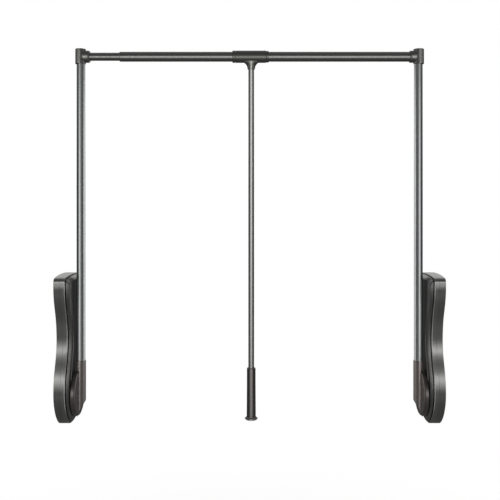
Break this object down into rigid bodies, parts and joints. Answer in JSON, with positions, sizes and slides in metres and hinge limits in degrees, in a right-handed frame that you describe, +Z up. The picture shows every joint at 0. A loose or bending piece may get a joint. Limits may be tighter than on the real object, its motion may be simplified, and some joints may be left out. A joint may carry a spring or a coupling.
{
  "type": "pull down closet rod",
  "caption": "Wardrobe lift: two sprung wall cases, swinging tubular arms, a telescopic hanging rail and a pull rod with a grip that draws the rail forwards and down.",
  "frame": {"origin": "midway between the two wall faces, in the plane of the upright arms, level with the bottoms of the cases", "axes": "+X along the rail towards the right-hand case as seen from the front, +Y into the wardrobe, +Z up; -Y is the open front that the rail swings to"},
  "size_m": [0.83, 0.1282, 0.8216],
  "materials": {
    "case_plastic": "satin charcoal",
    "holder_plastic": "satin brown black",
    "arm_steel": "satin plated tube",
    "rod_steel": "satin plated tube, a little darker than the arms",
    "rail_steel": "dark gunmetal plated tube",
    "fitting_metal": "satin olive black paint",
    "grip_plastic": "satin brown black",
    "zinc_steel": "zinc plated",
    "spring_steel": "oiled spring wire",
    "nylon": "natural nylon"
  },
  "bodies": {
    "left_case": {"left_wall_plate": "zinc_steel", "left_back_shell": "case_plastic", "left_front_shell": "case_plastic", "left_inner_cover": "case_plastic", "left_upper_case_screw": "zinc_steel", "left_lower_case_screw": "zinc_steel", "left_top_bracket": "zinc_steel", "left_damper_cylinder": "nylon", "left_pivot_shaft": "zinc_steel", "left_pivot_bush": "nylon"},
    "left_rack_carriage": {"left_rack": "zinc_steel", "left_spring": "spring_steel", "left_damper_rod": "zinc_steel"},
    "left_arm": {"left_drive_gear": "zinc_steel", "left_arm_holder": "holder_plastic", "left_pivot_screw": "zinc_steel", "left_arm_tube": "arm_steel", "left_arm_pin": "zinc_steel", "left_elbow": "fitting_metal", "left_elbow_cap": "fitting_metal", "left_elbow_screw": "zinc_steel", "left_rail_plug": "nylon", "inner_rail": "rail_steel", "inner_rail_glide": "nylon"},
    "right_case": {"right_wall_plate": "zinc_steel", "right_back_shell": "case_plastic", "right_front_shell": "case_plastic", "right_inner_cover": "case_plastic", "right_upper_case_screw": "zinc_steel", "right_lower_case_screw": "zinc_steel", "right_top_bracket": "zinc_steel", "right_damper_cylinder": "nylon", "right_pivot_shaft": "zinc_steel", "right_pivot_bush": "nylon"},
    "right_rack_carriage": {"right_rack": "zinc_steel", "right_spring": "spring_steel", "right_damper_rod": "zinc_steel"},
    "right_arm": {"right_drive_gear": "zinc_steel", "right_arm_holder": "holder_plastic", "right_pivot_screw": "zinc_steel", "right_arm_tube": "arm_steel", "right_arm_pin": "zinc_steel", "right_elbow": "fitting_metal", "right_elbow_cap": "fitting_metal", "right_elbow_screw": "zinc_steel", "right_rail_plug": "nylon", "outer_rail": "rail_steel", "outer_rail_bush": "fitting_metal"},
    "clamp_rings": {"left_clamp_ring": "fitting_metal", "right_clamp_ring": "fitting_metal"},
    "rod_assembly": {"rod_connector": "fitting_metal", "connector_screw": "zinc_steel", "pull_rod": "rod_steel", "grip": "grip_plastic", "grip_end_cap": "grip_plastic"}
  },
  "joints": [
    {"name": "left_arm_pivot", "type": "hinge", "parent": "left_case", "child": "left_arm", "pos_m": [-0.3718, 0, 0.066], "axis": [1, 0, 0], "range_deg": [0, 100], "stiffness_Nm_per_rad": 10, "springref_deg": -28.65},
    {"name": "left_rack_slide", "type": "slide", "parent": "left_case", "child": "left_rack_carriage", "axis": [0, 0, 1], "range_m": [0, 0.035], "deforming": ["left_spring"]},
    {"name": "width_adjust", "type": "slide", "parent": "left_case", "child": "right_case", "axis": [1, 0, 0], "range_m": [0, 0.32]},
    {"name": "right_arm_pivot", "type": "hinge", "parent": "right_case", "child": "right_arm", "pos_m": [0.3718, 0, 0.066], "axis": [1, 0, 0], "range_deg": [0, 100]},
    {"name": "right_rack_slide", "type": "slide", "parent": "right_case", "child": "right_rack_carriage", "axis": [0, 0, 1], "range_m": [0, 0.035], "deforming": ["right_spring"]},
    {"name": "rod_slide", "type": "slide", "parent": "right_arm", "child": "clamp_rings", "axis": [1, 0, 0], "range_m": [-0.18, 0.18]},
    {"name": "pull_rod_swing", "type": "hinge", "parent": "clamp_rings", "child": "rod_assembly", "pos_m": [0.0035, 0, 0.805], "axis": [1, 0, 0], "range_deg": [-120, 20]}
  ],
  "couplings": [
    {"joint": "left_rack_slide", "follows": "left_arm_pivot", "m_per_rad": 0.02},
    {"joint": "right_arm_pivot", "follows": "left_arm_pivot", "ratio": 1},
    {"joint": "right_rack_slide", "follows": "left_arm_pivot", "m_per_rad": 0.02}
  ]
}
